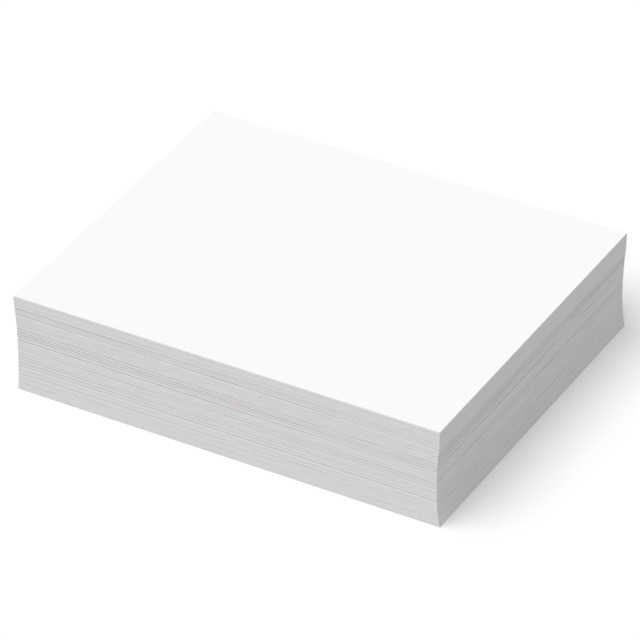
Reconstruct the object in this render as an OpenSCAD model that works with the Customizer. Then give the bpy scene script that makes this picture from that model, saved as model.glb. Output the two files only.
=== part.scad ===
// Ream of paper: 500 loose sheets, stacked by hand and lying flat.
// Millimetres. X runs along the length of a sheet, Y along its width, Z up.
// The origin is on the surface that the stack lies on, at the middle of its foot.

/* [Sheet] */
// Length of a sheet at the top and the foot of the stack
sheet_length = 279.4; // [150:0.1:430]
// Width of a sheet
sheet_width = 215.9; // [100:0.1:300]
// Thickness of a sheet
sheet_t = 0.122; // [0.06:0.001:0.35]

/* [Stack] */
// Number of lifts, the bundles that the stack is counted out in
lift_count = 50; // [2:1:58]
// Number of sheets in a lift
lift_sheet_count = 10; // [2:1:12]
// Air between one sheet and the next
air_gap = 0.006; // [0.004:0.001:0.02]

/* [Knife draw] */
// How much shorter the right end (+X) is cut at its waist
right_draw = 1.9; // [0:0.1:6]
// Height of that waist, as a share of the stack
right_waist_share = 0.41; // [0.1:0.01:0.9]
// How much shorter the left end (-X) is cut at its waist
left_draw = 1.4; // [0:0.1:6]
// Height of that waist, as a share of the stack
left_waist_share = 0.6; // [0.1:0.01:0.9]

/* [Lean] */
// How far the foot lies to the left of the top
lean_left = 0.8; // [-4:0.1:4]
// How far the foot lies in front (-Y) of the top
lean_front = 2.5; // [-4:0.1:4]

/* [Slip] */
// Number of sheets that cling together and slip as one packet
packet_sheet_count = 7; // [2:1:40]
// How far a packet slips sideways
packet_slip = 0.03; // [0:0.01:0.5]
// How far any one sheet lies off its packet
sheet_slip = 0.01; // [0:0.005:0.2]

/* [Lines] */
// Number of sheets that lie back together and show as a line
line_sheet_count = 5; // [1:1:8]
// How far they lie back where a line has full depth
line_depth = 0.25; // [0:0.01:0.6]
// Most sheets that a line strays from its even place in a band
line_stray_count = 2; // [0:0.5:5]
// Largest share by which a line is deeper or shallower than its band
line_stray_share = 0.3; // [0:0.05:1]

/* [Hidden] */
// Bands of lines, each [height share of its middle, lines, sheets from line to line, depth share at
// one end, depth share at the other]. On the front (-Y) the ends are the left and the right.
front_bands = [
    [0.845, 3, 13, 0.6, 0.4],
    [0.602, 6, 11, 0.7, 0.5],
    [0.425, 3, 13, 0.3, 0.5],
    [0.300, 4, 15, 0.4, 0.35],
    [0.147, 2, 27, 0.8, 0.1]
];
// On the right (+X) each line is as deep at one end as at the other
right_bands = [
    [0.683, 6, 16, 1.3, 1.3],
    [0.461, 2, 14, 1.2, 1.2],
    [0.256, 4, 15, 0.8, 0.8],
    [0.134, 2, 30, 0.5, 0.5]
];
// How far the edges of the packets wander, in sheets, and how fast, in degrees a sheet
wander = 1.8;
wander_rate = 13;
// How sharply the draw of the cut sets in above the foot
draw_power = 2.5;
// Seed of the chances: another one deals out the slips and the lines anew
seed = 12;

sheet_count = lift_count * lift_sheet_count;
pitch = sheet_t + air_gap;
packet_count = ceil((sheet_count + 2 * wander) / packet_sheet_count) + 1;
packet_slips = rands(-1, 1, 2 * packet_count, seed);
sheet_slips = rands(-1, 1, 2 * sheet_count, seed + 1);
front_lines = lines_of(front_bands, seed + 10);
right_lines = lines_of(right_bands, seed + 20);

// Height of sheet n as a share of the stack: 0 at the foot and 1 at the top sheet
function share(n) = n / (sheet_count - 1);

// How far the cut is drawn in at height h: 0 at the foot and the top, 1 at the waist
function draw(h, waist) = h < waist
    ? 1 - pow((waist - h) / waist, draw_power)
    : pow(cos(90 * (h - waist) / (1 - waist)), 2);

// Where the right and left ends of sheet n are cut
function right_cut(n) = sheet_length / 2 - right_draw * draw(share(n), right_waist_share);
function left_cut(n) = -sheet_length / 2 + left_draw * draw(share(n), left_waist_share);

// Number of the packet that sheet n clings to
function packet_of(n) = floor((n + wander * (1 + sin(wander_rate * n))) / packet_sheet_count);

// The lines of all these bands, each [sheet in its middle, depth share at one end, at the other]
function lines_of(bands, line_seed) = [
    for (b = [0 : len(bands) - 1])
        let (band = bands[b], chances = rands(-1, 1, 2 * band[1], line_seed + b))
            for (k = [0 : band[1] - 1])
                let (
                    even_place = band[0] * (sheet_count - 1) + (k - (band[1] - 1) / 2) * band[2],
                    strength = 1 + line_stray_share * chances[2 * k + 1]
                )
                    [even_place + line_stray_count * chances[2 * k], strength * band[3], strength * band[4]]
];

// How far sheet n lies back at the end of the lines that column 1 or 2 is for
function set_back(n, lines, column) = line_depth * max([
    0,
    for (line = lines) if (abs(n - line[0]) < line_sheet_count / 2) line[column]
]);

module sheet(n) {
    left_back = set_back(n, front_lines, 1);
    right_back = set_back(n, front_lines, 2);
    up = share(n) - 0.5;
    x = (right_cut(n) + left_cut(n)) / 2 + lean_left * up - set_back(n, right_lines, 1);
    y = lean_front * up + (left_back + right_back) / 2;
    slip_x = packet_slip * packet_slips[2 * packet_of(n)] + sheet_slip * sheet_slips[2 * n];
    slip_y = packet_slip * packet_slips[2 * packet_of(n) + 1] + sheet_slip * sheet_slips[2 * n + 1];
    translate([x + slip_x, y + slip_y, n * pitch])
        rotate(atan((right_back - left_back) / sheet_length))
            translate([0, 0, sheet_t / 2])
                cube([right_cut(n) - left_cut(n), sheet_width, sheet_t], center = true);
}

module lift(i) {
    color("white")
        for (n = [i * lift_sheet_count : (i + 1) * lift_sheet_count - 1])
            sheet(n);
}

for (i = [0 : lift_count - 1])
    lift(i);
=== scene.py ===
"""Looks of a ream of paper: its 500 sheets, the studio floor, the light and the camera."""
import math

import bpy
import numpy as np
from mathutils import Matrix, Vector


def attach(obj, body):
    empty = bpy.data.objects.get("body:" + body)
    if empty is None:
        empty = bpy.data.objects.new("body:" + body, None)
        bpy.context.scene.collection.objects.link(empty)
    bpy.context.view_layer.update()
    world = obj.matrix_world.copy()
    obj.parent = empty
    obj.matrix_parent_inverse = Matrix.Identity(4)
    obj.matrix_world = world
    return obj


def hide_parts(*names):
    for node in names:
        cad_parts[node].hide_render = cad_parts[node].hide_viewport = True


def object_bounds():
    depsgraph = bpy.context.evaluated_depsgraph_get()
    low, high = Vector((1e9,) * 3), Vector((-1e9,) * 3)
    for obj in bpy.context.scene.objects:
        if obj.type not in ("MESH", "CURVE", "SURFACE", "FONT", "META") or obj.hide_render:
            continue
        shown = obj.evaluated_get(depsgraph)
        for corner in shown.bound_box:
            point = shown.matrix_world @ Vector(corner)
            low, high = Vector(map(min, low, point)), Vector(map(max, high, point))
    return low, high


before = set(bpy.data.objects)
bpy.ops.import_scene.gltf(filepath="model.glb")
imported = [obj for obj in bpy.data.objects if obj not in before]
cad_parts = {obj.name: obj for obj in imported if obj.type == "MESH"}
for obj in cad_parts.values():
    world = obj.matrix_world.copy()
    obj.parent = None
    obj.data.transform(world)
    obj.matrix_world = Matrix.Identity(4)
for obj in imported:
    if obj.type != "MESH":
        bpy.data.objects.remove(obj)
cad_low, cad_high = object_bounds()

# Camera: angles in degrees, lengths in metres, fitted to the corners of the stack in the photograph
AZIMUTH, ELEVATION, ROLL = 32.63, 35.40, -2.97
DISTANCE = 2.925
OFF_RIGHT, OFF_UP = -0.00121, -0.00517
FOCAL_PX = 5093
IMAGE_PX = 640
SENSOR_MM = 36
FAR_CLIP = 100

# Studio: a broad soft sun with its spread and lean in degrees, a white sky and a floor that looks white
SUN_STRENGTH = 1.95
SUN_SPREAD = 55
SUN_LEAN_FRONT, SUN_LEAN_LEFT = 19, 12
SKY_STRENGTH = 0.45
FLOOR_SIDE = 12
FLOOR_TONE = 0.50
WHITE = 1.0

# Bundles, the pieces that the lifts are gathered into: one lift at the foot and at the top, more between
MIDDLE_BUNDLE_LIFTS = 6

# Sheets: segments along each side, the width of the margin that follows the waves of the edge, and the
# angle in degrees from which two faces meet in a sharp corner
LENGTH_SEGMENTS, WIDTH_SEGMENTS = 36, 28
MARGIN = 0.025
SHARP_ANGLE = 45

# Waves along the edges low in the stack: how high air lifts them at most, the heights as shares of the
# stack where that is and where it ends, and how much of it is left at the right end
SWELL = 0.00042
SWELL_PEAK, SWELL_END = 0.16, 0.46
SWELL_RIGHT_SHARE = 0.35
# The part of that lift which is the same all along, then the length and the part of each wave, and how
# much a step along y counts in a wave against one along x
EVEN_LIFT = 0.5
WAVES = [(0.041, 0.3), (0.063, 0.2)]
WAVE_SLANT = 0.7

# Lines, where a few sheets lie back together. Each has its height as a share of the stack, and how deep
# it is at the left and at the right end of the front side, as a share of the full depth.
FRONT_LINES = [
    (0.869, 1.0, 0.2), (0.846, 0.6, 0.4), (0.816, 0.8, 0.5), (0.710, 0.4, 0.1), (0.659, 0.7, 0.4),
    (0.629, 0.9, 0.5), (0.605, 0.7, 0.5), (0.577, 0.4, 0.3), (0.544, 1.0, 0.7), (0.476, 0.1, 0.1),
    (0.448, 0.3, 0.5), (0.420, 0.1, 0.7), (0.397, 0.1, 0.5), (0.367, 0.6, 0.4), (0.334, 0.5, 0.2),
    (0.298, 0.4, 0.2), (0.262, 0.3, 0.4), (0.227, 0.2, 0.2), (0.177, 0.3, 0.0), (0.115, 0.1, 0.0),
]
# The same for the front and the back end of the right side
RIGHT_LINES = [
    (0.776, 0.6, 0.5), (0.734, 1.6, 1.0), (0.699, 1.3, 1.1), (0.653, 1.1, 0.7), (0.600, 1.1, 0.7),
    (0.491, 0.1, 0.1), (0.454, 0.7, 0.7), (0.414, 0.0, 0.9), (0.379, 0.1, 0.5), (0.340, 0.4, 0.3),
    (0.294, 0.7, 0.4), (0.250, 0.3, 0.2), (0.199, 0.3, 0.4), (0.154, 0.4, 0.3), (0.093, 0.2, 0.0),
]
# Number of sheets in a line, and its full depth
LINE_SHEETS = 5
LINE_DEPTH = 0.00012
# Furthest that any other sheet lies off the even course of its edge, and how many sheets above and below
# one that course is taken from
SLIP = 0.00003
NEIGHBOURS = 8
# Height, as a share of the stack, from which sheets slip in full. Towards the foot they lie more evenly.
LOOSE_FROM = 0.25

# Paper: its sheen, the strength of its bump, and how rough and how deep the grain of each side is
SHEEN = 0.25
BUMP = 0.5
FACE_ROUGHNESS, FACE_DEPTH = (0.82, 0.92), 0.00002
EDGE_ROUGHNESS, EDGE_DEPTH = (0.88, 0.97), 0.00003

# Noises: cells in a metre, then their detail and their roughness. NOISE_MEAN is what they vary around.
CLOUDS = (180, 4, 0.5)
FACE_FIBRES = (2600, 5, 0.65)
EDGE_FIBRES = (3200, 4, 0.65)
STREAKS = (60, 4, 0.6)
SLOW_CHANGE = (16, 2, 0.5)
NOISE_MEAN = 0.5

# Faces: the part that clouds of pulp have in their mottle, the rest being fibres, and its colours
CLOUD_PART = 0.6
FACE_COLOURS = [(0.3, (0.924, 0.922, 0.923)), (0.7, (0.940, 0.938, 0.939))]

# Cut edges: how much painted shade a mm of set-back gives them, and painted light a mm of standing out,
# how much that changes along a line, the streaks, how far one sheet's pattern lies from the next one's,
# and where on the ramp an even edge lies, at its own tone
LINE_PAINTED_SHADE = 7.5
LINE_CHANGE = 1.2
STREAK_DARKNESS = 0.5
EDGE_STEP = 0.003
EVEN_EDGE_TONE = 0.25
# Their colours, from a painted highlight where sheets stand out, through the edge's own tone, to a
# painted shade where they lie furthest back
EDGE_COLOURS_AND_PAINTED_SHADE = [
    (0.0, (0.985, 0.960, 0.963)),
    (0.3, (0.915, 0.890, 0.893)),
    (1.0, (0.350, 0.330, 0.325)),
]

# Bake map: the edge strips fill its lower part, row by row, then come the faces. As shares of its side,
# the margin round it, the gap between its parts, the height of the row of face cells, how much of its
# cell a face fills, and the height of the one face that is seen.
MAP_MARGIN = 0.002
MAP_GAP = 0.004
FACE_CELLS = 0.04
CELL_FILL = 0.9
SHOWN_FACE = 0.75

# The corners of a sheet go round from the front left, and its sides from the front
SIDES = 4
LEFT_CORNERS, RIGHT_CORNERS, FRONT_CORNERS, BACK_CORNERS = [0, 3], [1, 2], [0, 1], [2, 3]

# Which kinds of the faces that sheet_faces lists are the cut edge, and the lower and the upper face
EDGE_FACES = 2
LOW_FACES, HIGH_FACES = (0, 3), (1, 4)

# The two faces of a sheet of paper
LOWER, UPPER = 0, 1

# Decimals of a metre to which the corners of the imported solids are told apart
CORNER_DECIMALS = 7

# A millimetre in metres
MM = 0.001


def add_camera():
    azimuth, elevation, roll = map(math.radians, (AZIMUTH, ELEVATION, ROLL))
    back = Vector((
        math.sin(azimuth) * math.cos(elevation),
        -math.cos(azimuth) * math.cos(elevation),
        math.sin(elevation),
    ))
    level = Vector((math.cos(azimuth), math.sin(azimuth), 0))
    upright = back.cross(level)
    right = level * math.cos(roll) + upright * math.sin(roll)
    up = upright * math.cos(roll) - level * math.sin(roll)
    middle = Vector((0, 0, (cad_low.z + cad_high.z) / 2))
    camera = bpy.data.objects.new("camera", bpy.data.cameras.new("camera"))
    bpy.context.scene.collection.objects.link(camera)
    camera.data.sensor_width = SENSOR_MM
    camera.data.lens = FOCAL_PX * SENSOR_MM / IMAGE_PX
    camera.data.clip_end = FAR_CLIP
    turn = Matrix((right, up, back)).transposed().to_4x4()
    place = middle + back * DISTANCE + right * OFF_RIGHT + up * OFF_UP
    camera.matrix_world = Matrix.Translation(place) @ turn
    bpy.context.scene.camera = camera


def add_sun():
    lamp = bpy.data.lights.new("sun", "SUN")
    lamp.energy = SUN_STRENGTH
    lamp.angle = math.radians(SUN_SPREAD)
    sun = bpy.data.objects.new("sun", lamp)
    bpy.context.scene.collection.objects.link(sun)
    toward = Vector((
        -math.tan(math.radians(SUN_LEAN_LEFT)),
        -math.tan(math.radians(SUN_LEAN_FRONT)),
        1,
    ))
    sun.rotation_euler = toward.to_track_quat("Z", "Y").to_euler()


def add_node(tree, kind, values=(), **settings):
    """A new shader node with these input values and settings."""
    node = tree.nodes.new("ShaderNode" + kind)
    for name, value in settings.items():
        setattr(node, name, value)
    for name, value in dict(values).items():
        node.inputs[name].default_value = value
    return node


def calculate(tree, operation, a, b):
    """The output of a Math node. Either side may be a socket or a number."""
    node = add_node(tree, "Math", operation=operation)
    for socket, side in zip(node.inputs, (a, b)):
        if isinstance(side, bpy.types.NodeSocket):
            tree.links.new(side, socket)
        else:
            socket.default_value = side
    return node.outputs[0]


def seen_directly(tree):
    """1 for rays that show the background itself, in the picture, a reflection or through glass."""
    path = add_node(tree, "LightPath")
    shown = calculate(tree, "MAXIMUM", path.outputs["Is Camera Ray"], path.outputs["Is Glossy Ray"])
    return calculate(tree, "MAXIMUM", shown, path.outputs["Is Transmission Ray"])


def choose_by_ray(tree, lighting, shown, output):
    """Lights the object with one shader and shows the other as the background."""
    choose = add_node(tree, "MixShader")
    tree.links.new(seen_directly(tree), choose.inputs["Fac"])
    tree.links.new(lighting.outputs[0], choose.inputs[1])
    tree.links.new(shown.outputs[0], choose.inputs[2])
    tree.links.new(choose.outputs[0], output.inputs["Surface"])


def grey(tone):
    """An opaque colour without a hue."""
    return tone, tone, tone, 1


def add_sky():
    world = bpy.data.worlds.new("sky")
    bpy.context.scene.world = world
    world.use_nodes = True
    tree = world.node_tree
    lighting = add_node(tree, "Background", {"Color": grey(WHITE), "Strength": SKY_STRENGTH})
    shown = add_node(tree, "Background", {"Color": grey(WHITE), "Strength": WHITE})
    choose_by_ray(tree, lighting, shown, tree.nodes["World Output"])


def add_floor():
    mesh = bpy.data.meshes.new("floor")
    half = FLOOR_SIDE / 2
    corners = [(-half, -half, 0), (half, -half, 0), (half, half, 0), (-half, half, 0)]
    mesh.from_pydata(corners, [], [(0, 1, 2, 3)])
    floor = bpy.data.objects.new("floor", mesh)
    bpy.context.scene.collection.objects.link(floor)
    material = bpy.data.materials.new("floor")
    material.use_nodes = True
    tree = material.node_tree
    lighting = add_node(tree, "BsdfDiffuse", {"Color": grey(FLOOR_TONE)})
    shown = add_node(tree, "BsdfDiffuse", {"Color": grey(WHITE)})
    choose_by_ray(tree, lighting, shown, tree.nodes["Material Output"])
    tree.nodes.remove(tree.nodes["Principled BSDF"])
    mesh.materials.append(material)


def ramp(tree, value, stops):
    """The colour that a value from 0 to 1 has on a ramp of (place, colour) stops."""
    node = add_node(tree, "ValToRGB")
    tree.links.new(value, node.inputs["Fac"])
    elements = node.color_ramp.elements
    for place, _ in stops[1:-1]:
        elements.new(place)
    for element, (place, colour) in zip(elements, stops):
        element.position = place
        element.color = (*colour, 1)
    return node.outputs["Color"]


def noise(tree, vector, cells, detail, roughness):
    """A noise from 0 to 1, with this many cells in a unit of the vector."""
    node = add_node(tree, "TexNoise", {"Scale": cells, "Detail": detail, "Roughness": roughness})
    tree.links.new(vector, node.inputs["Vector"])
    return node.outputs["Fac"]


def new_paper(name):
    """A material whose Principled shader is matt as paper, its node tree and that shader."""
    material = bpy.data.materials.new(name)
    material.use_nodes = True
    shader = material.node_tree.nodes["Principled BSDF"]
    shader.inputs["Specular IOR Level"].default_value = SHEEN
    return material, material.node_tree, shader


def finish_paper(tree, shader, colour, grain, roughness, depth):
    """Links the colour, and a roughness and a relief that follow the grain."""
    tree.links.new(colour, shader.inputs["Base Color"])
    spread = add_node(tree, "MapRange", {"To Min": roughness[0], "To Max": roughness[1]})
    tree.links.new(grain, spread.inputs["Value"])
    tree.links.new(spread.outputs[0], shader.inputs["Roughness"])
    bump = add_node(tree, "Bump", {"Strength": BUMP, "Distance": depth})
    tree.links.new(grain, bump.inputs["Height"])
    tree.links.new(bump.outputs["Normal"], shader.inputs["Normal"])


def face_paper():
    """The smooth side of a sheet: faint clouds of pulp and a fine felt of fibres."""
    material, tree, shader = new_paper("paper_face")
    place = add_node(tree, "TexCoord").outputs["Object"]
    clouds = noise(tree, place, *CLOUDS)
    fibres = noise(tree, place, *FACE_FIBRES)
    cloud_part = calculate(tree, "MULTIPLY", clouds, CLOUD_PART)
    fibre_part = calculate(tree, "MULTIPLY", fibres, 1 - CLOUD_PART)
    colour = ramp(tree, calculate(tree, "ADD", cloud_part, fibre_part), FACE_COLOURS)
    finish_paper(tree, shader, colour, fibres, FACE_ROUGHNESS, FACE_DEPTH)
    return material


def edge_paper():
    """The cut edges: a painted highlight where they stand out, and painted shade, grey and warm, in the
    lines where sheets lie back.
    """
    material, tree, shader = new_paper("paper_edge")
    place = add_node(tree, "TexCoord").outputs["Object"]
    axes = add_node(tree, "SeparateXYZ")
    tree.links.new(place, axes.inputs[0])
    sheet = add_node(tree, "Attribute", attribute_name="sheet").outputs["Fac"]
    back = add_node(tree, "Attribute", attribute_name="set_back").outputs["Fac"]

    along = add_node(tree, "CombineXYZ")
    tree.links.new(axes.outputs["X"], along.inputs["X"])
    tree.links.new(axes.outputs["Y"], along.inputs["Y"])
    tree.links.new(calculate(tree, "MULTIPLY", sheet, EDGE_STEP), along.inputs["Z"])
    slow = noise(tree, along.outputs[0], *SLOW_CHANGE)
    streaks = noise(tree, along.outputs[0], *STREAKS)
    fibres = noise(tree, place, *EDGE_FIBRES)

    change = calculate(tree, "MULTIPLY", slow, LINE_CHANGE)
    change = calculate(tree, "ADD", change, 1 - LINE_CHANGE * NOISE_MEAN)
    # Painted shade where a sheet lies back in its recess, and painted light where it stands out, by its
    # set-back
    line = calculate(tree, "MULTIPLY", back, calculate(tree, "MULTIPLY", change, LINE_PAINTED_SHADE))
    streak = calculate(tree, "SUBTRACT", streaks, NOISE_MEAN)
    streak = calculate(tree, "MULTIPLY", streak, STREAK_DARKNESS)
    # The place on the ramp: that painted shade and light, the streaks of tone that differ at random, and
    # the even edge's own tone
    painted_shade_and_streaks = calculate(tree, "ADD", calculate(tree, "ADD", line, streak), EVEN_EDGE_TONE)
    colour = ramp(tree, painted_shade_and_streaks, EDGE_COLOURS_AND_PAINTED_SHADE)
    finish_paper(tree, shader, colour, fibres, EDGE_ROUGHNESS, EDGE_DEPTH)
    return material


def cad_sheets(lift):
    """A lift's sheets from the foot up: lower and upper face, corners from the front left, xyz."""
    places = np.empty(len(lift.data.vertices) * 3)
    lift.data.vertices.foreach_get("co", places)
    corners = np.unique(places.reshape(-1, 3).round(CORNER_DECIMALS), axis=0)
    levels = corners[np.argsort(corners[:, 2], kind="stable")].reshape(-1, SIDES, 3)
    off = levels - levels.mean(1, keepdims=True)
    order = np.argsort(np.arctan2(off[:, :, 1], off[:, :, 0]), axis=1)
    return np.take_along_axis(levels, order[:, :, None], axis=1).reshape(-1, 2, SIDES, 3)


def even_course(values):
    """Each sheet's values averaged with its neighbours', which go on evenly past the stack's ends."""
    ends = ((NEIGHBOURS, NEIGHBOURS),) + ((0, 0),) * (values.ndim - 1)
    longer = np.pad(values, ends, mode="reflect", reflect_type="odd")
    return np.lib.stride_tricks.sliding_window_view(longer, 2 * NEIGHBOURS + 1, axis=0).mean(-1)


def line_depths(lines, sheet_count):
    """How far each sheet lies back at both ends of these lines."""
    depths = np.zeros((sheet_count, 2))
    for height, *ends in lines:
        off = np.abs(np.arange(sheet_count) - height * (sheet_count - 1))
        depths[off < LINE_SHEETS / 2] = np.array(ends) * LINE_DEPTH
    return depths


def lay_back(sheets):
    """The sheets moved back where the lines are, and otherwise on the even course of their edges."""
    course = even_course(sheets)
    slips = sheets - course
    # What lies further off is in one of the solids' own lines, which the lines here take the place of
    slips[np.abs(slips) > SLIP] = 0
    looseness = np.clip(sheets[..., 2:] / (LOOSE_FROM * cad_high.z), 0, 1)
    moved = course + slips * looseness
    moved[..., 2] = sheets[..., 2]
    for lines, axis, inward, ends in (
        (FRONT_LINES, 1, 1, (LEFT_CORNERS, RIGHT_CORNERS)),
        (RIGHT_LINES, 0, -1, (FRONT_CORNERS, BACK_CORNERS)),
    ):
        for depths, corners in zip(line_depths(lines, len(sheets)).T, ends):
            moved[:, :, corners, axis] += inward * depths[:, None, None]
    return moved


def set_backs(sheets):
    """How far each sheet lies back from the even course of its edge, in mm: sheet, side, both ends."""
    x, y = sheets[:, 0, :, 0], sheets[:, 0, :, 1]
    outward = np.stack([-y[:, [0, 1]], x[:, [1, 2]], y[:, [2, 3]], -x[:, [3, 0]]], 1)
    return (even_course(outward) - outward) / MM


def swell(x, y, height):
    """How far air lifts the wavy edges at this place."""
    share = height / cad_high.z
    rise = np.sin(np.clip(share / SWELL_PEAK, 0, 1) * math.pi / 2) ** 2
    fall = np.cos(np.clip((share - SWELL_PEAK) / (SWELL_END - SWELL_PEAK), 0, 1) * math.pi / 2) ** 2
    to_right = (x - cad_low.x) / (cad_high.x - cad_low.x)
    fade = 1 - (1 - SWELL_RIGHT_SHARE) * to_right
    waves = sum(part * np.sin(math.tau * (x + WAVE_SLANT * y) / length) for length, part in WAVES)
    return SWELL * rise * fall * fade * (EVEN_LIFT + waves)


def around_sheet():
    """Each point round a sheet as its side and its place along that side."""
    segments = (LENGTH_SEGMENTS, WIDTH_SEGMENTS) * 2
    side = np.repeat(np.arange(SIDES), segments)
    along = np.concatenate([np.arange(count) / count for count in segments])
    return side, along


def between(corners, side, along):
    """What lies at these places round a sheet, from what lies at its corners."""
    start, end = corners[side], corners[(side + 1) % SIDES]
    return start + (end - start) * along[:, None]


def inset(corners, margin):
    """The corners moved in by this margin, which may differ along x and y."""
    moved = corners.copy()
    moved[:, :2] += np.sign(corners.mean(0) - corners)[:, :2] * margin
    return moved


def sheet_points(sheet):
    """The points of one sheet: lower rim and inner loop, upper inner loop and rim, then both middles."""
    side, along = around_sheet()
    low_rim, high_rim = (between(corners, side, along) for corners in sheet)
    low_inner, high_inner = (between(inset(corners, MARGIN), side, along) for corners in sheet)
    for rim in (low_rim, high_rim):
        rim[:, 2] += swell(rim[:, 0], rim[:, 1], sheet[0, 0, 2])
    return np.concatenate([low_rim, low_inner, high_inner, high_rim, sheet.mean(1)])


def sheet_faces():
    """The faces of one sheet by kind: lower and upper margin, cut edge, and a fan over each middle."""
    count = len(around_sheet()[0])
    here = np.arange(count)
    there = (here + 1) % count
    low_rim, low_inner, high_inner, high_rim, middles = (k * count for k in range(5))
    return [
        np.stack([low_rim + there, low_rim + here, low_inner + here, low_inner + there], 1),
        np.stack([high_rim + here, high_rim + there, high_inner + there, high_inner + here], 1),
        np.stack([low_rim + here, low_rim + there, high_rim + there, high_rim + here], 1),
        np.stack([low_inner + there, low_inner + here, np.full(count, middles)], 1),
        np.stack([high_inner + here, high_inner + there, np.full(count, middles + 1)], 1),
    ]


def on_edge(values):
    """Values at both ends of each side, as numbers for the corners of the edge's faces."""
    side, along = around_sheet()
    step = 1 / np.array((LENGTH_SEGMENTS, WIDTH_SEGMENTS) * 2)[side]
    start, end = values[side, 0], values[side, 1]
    here = start + (end - start) * along
    there = start + (end - start) * (along + step)
    return np.stack([here, there, there, here], 1)


class BakeMap:
    """Where a bundle's faces lie on its map: edge strips, a row of face cells, then the shown face."""

    def __init__(self, sheet_count, shown):
        unit = np.array([(0, 0, 0), (1, 0, 0), (1, 1, 0), (0, 1, 0)], float)
        side, along = around_sheet()
        size = cad_high - cad_low
        margin = np.array((MARGIN / size.x, MARGIN / size.y))
        rim, inner = between(unit, side, along), between(inset(unit, margin), side, along)
        middles = np.tile(unit.mean(0), (2, 1))
        self.flat = np.concatenate([rim, inner, inner, rim, middles])[:, :2]
        self.sheet_count = sheet_count
        self.shown = shown
        # Where the row of face cells begins, then the heights of one side's strips and of one strip
        room_for_shown = 0 if shown is None else SHOWN_FACE + MAP_GAP
        self.cells = 1 - MAP_MARGIN - FACE_CELLS - room_for_shown
        self.block = (self.cells - MAP_MARGIN) / SIDES
        self.row = (self.block - MAP_GAP) / sheet_count

    def face(self, number, level):
        """Corner and size of the cell of a sheet's lower or upper face."""
        if self.shown == (number, level):
            low = self.cells + FACE_CELLS + MAP_GAP
            return (MAP_MARGIN, low), (1 - 2 * MAP_MARGIN, 1 - MAP_MARGIN - low)
        width = (1 - 2 * MAP_MARGIN) / (2 * self.sheet_count)
        place = (MAP_MARGIN + width * (2 * number + level), self.cells)
        return place, (CELL_FILL * width, CELL_FILL * FACE_CELLS)

    def corners(self, number, kinds):
        """Map coordinates of every face corner of one sheet, in the order of its faces."""
        side = around_sheet()[0]
        parts = [None] * len(kinds)
        for level, places in ((LOWER, LOW_FACES), (UPPER, HIGH_FACES)):
            corner, size = self.face(number, level)
            for place in places:
                parts[place] = (corner + self.flat[kinds[place]] * size).reshape(-1, 2)
        low = MAP_MARGIN + side * self.block + number * self.row
        across = on_edge(np.tile((0.0, 1.0), (SIDES, 1))) * (1 - 2 * MAP_MARGIN) + MAP_MARGIN
        up = np.stack([low, low, low + self.row, low + self.row], 1)
        parts[EDGE_FACES] = np.stack([across, up], 2).reshape(-1, 2)
        return np.concatenate(parts)


def join_sheets(name, sheets, kinds):
    """A mesh with the points and the faces of all these sheets."""
    points = [sheet_points(sheet) for sheet in sheets]
    faces = []
    for k in range(len(sheets)):
        for kind in kinds:
            faces += (kind + k * len(points[0])).tolist()
    mesh = bpy.data.meshes.new(name)
    mesh.from_pydata(np.concatenate(points).tolist(), [], faces)
    return mesh


def add_attribute(mesh, name, domain, values):
    """Gives the mesh one number for each face or each face corner, for its materials to read."""
    attribute = mesh.attributes.new(name, "FLOAT", domain)
    attribute.data.foreach_set("value", np.ascontiguousarray(values, np.float32))


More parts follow.
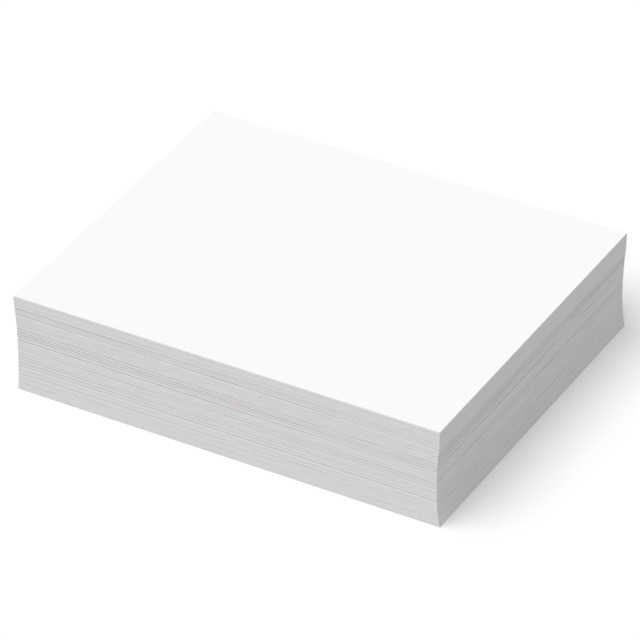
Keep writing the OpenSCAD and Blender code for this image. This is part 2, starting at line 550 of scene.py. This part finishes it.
def mark_edges(mesh, kinds, first, backs):
    """Gives every face its sheet's number, and the cut edges their material and their set-back."""
    face_kind = np.repeat(np.arange(len(kinds)), [len(kind) for kind in kinds])
    corner_kind = np.repeat(np.arange(len(kinds)), [kind.size for kind in kinds])
    numbers = np.repeat(first + np.arange(len(backs)), len(face_kind))
    back = np.zeros((len(backs), len(corner_kind)))
    back[:, corner_kind == EDGE_FACES] = [on_edge(ends).ravel() for ends in backs]
    add_attribute(mesh, "sheet", "FACE", numbers)
    add_attribute(mesh, "set_back", "CORNER", back.ravel())
    is_edge = (face_kind == EDGE_FACES).astype(np.int32)
    mesh.polygons.foreach_set("material_index", np.tile(is_edge, len(backs)))


def add_map(mesh, kinds, sheet_count, shown):
    """Lays the faces of the mesh out on the map that its materials are baked to."""
    bake_map = BakeMap(sheet_count, shown)
    spots = np.concatenate([bake_map.corners(k, kinds) for k in range(sheet_count)])
    mesh.uv_layers.new(name="OFBake").uv.foreach_set("vector", spots.astype(np.float32).ravel())


def add_bundle(sheets, backs, first, shown, materials):
    """One piece made of these sheets, the first of which is number first of the whole stack."""
    name = f"sheets_{first + 1:03d}_{first + len(sheets):03d}"
    kinds = sheet_faces()
    mesh = join_sheets(name, sheets, kinds)
    mark_edges(mesh, kinds, first, backs)
    add_map(mesh, kinds, len(sheets), shown)
    mesh.shade_smooth()
    mesh.set_sharp_from_angle(angle=math.radians(SHARP_ANGLE))
    for material in materials:
        mesh.materials.append(material)
    bundle = bpy.data.objects.new(name, mesh)
    bpy.context.scene.collection.objects.link(bundle)
    return bundle


def outer_face(start, end, lift_count, sheet_count):
    """The sheet and its face that a bundle shows at the foot or on top of the stack, if it does."""
    if start == 0:
        return 0, LOWER
    if end == lift_count:
        return sheet_count - 1, UPPER
    return None


def add_sheets():
    """All the bundles, each standing for the lifts that its sheets are in."""
    lifts = [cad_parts[name] for name in sorted(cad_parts)]
    middle = range(1, len(lifts) - 1, MIDDLE_BUNDLE_LIFTS)
    starts = [0, *middle, len(lifts) - 1, len(lifts)]
    by_lift = [cad_sheets(lift) for lift in lifts]
    first_numbers = np.cumsum([0] + [len(lift) for lift in by_lift])
    sheets = lay_back(np.concatenate(by_lift))
    backs = set_backs(sheets)
    materials = (face_paper(), edge_paper())
    for start, end in zip(starts, starts[1:]):
        first, after = first_numbers[start], first_numbers[end]
        shown = outer_face(start, end, len(lifts), after - first)
        bundle = add_bundle(sheets[first:after], backs[first:after], first, shown, materials)
        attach(bundle, "root")
        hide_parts(*(lift.name for lift in lifts[start:end]))


bpy.context.scene.view_settings.view_transform = "Standard"
add_camera()
add_sun()
add_sky()
add_floor()
add_sheets()
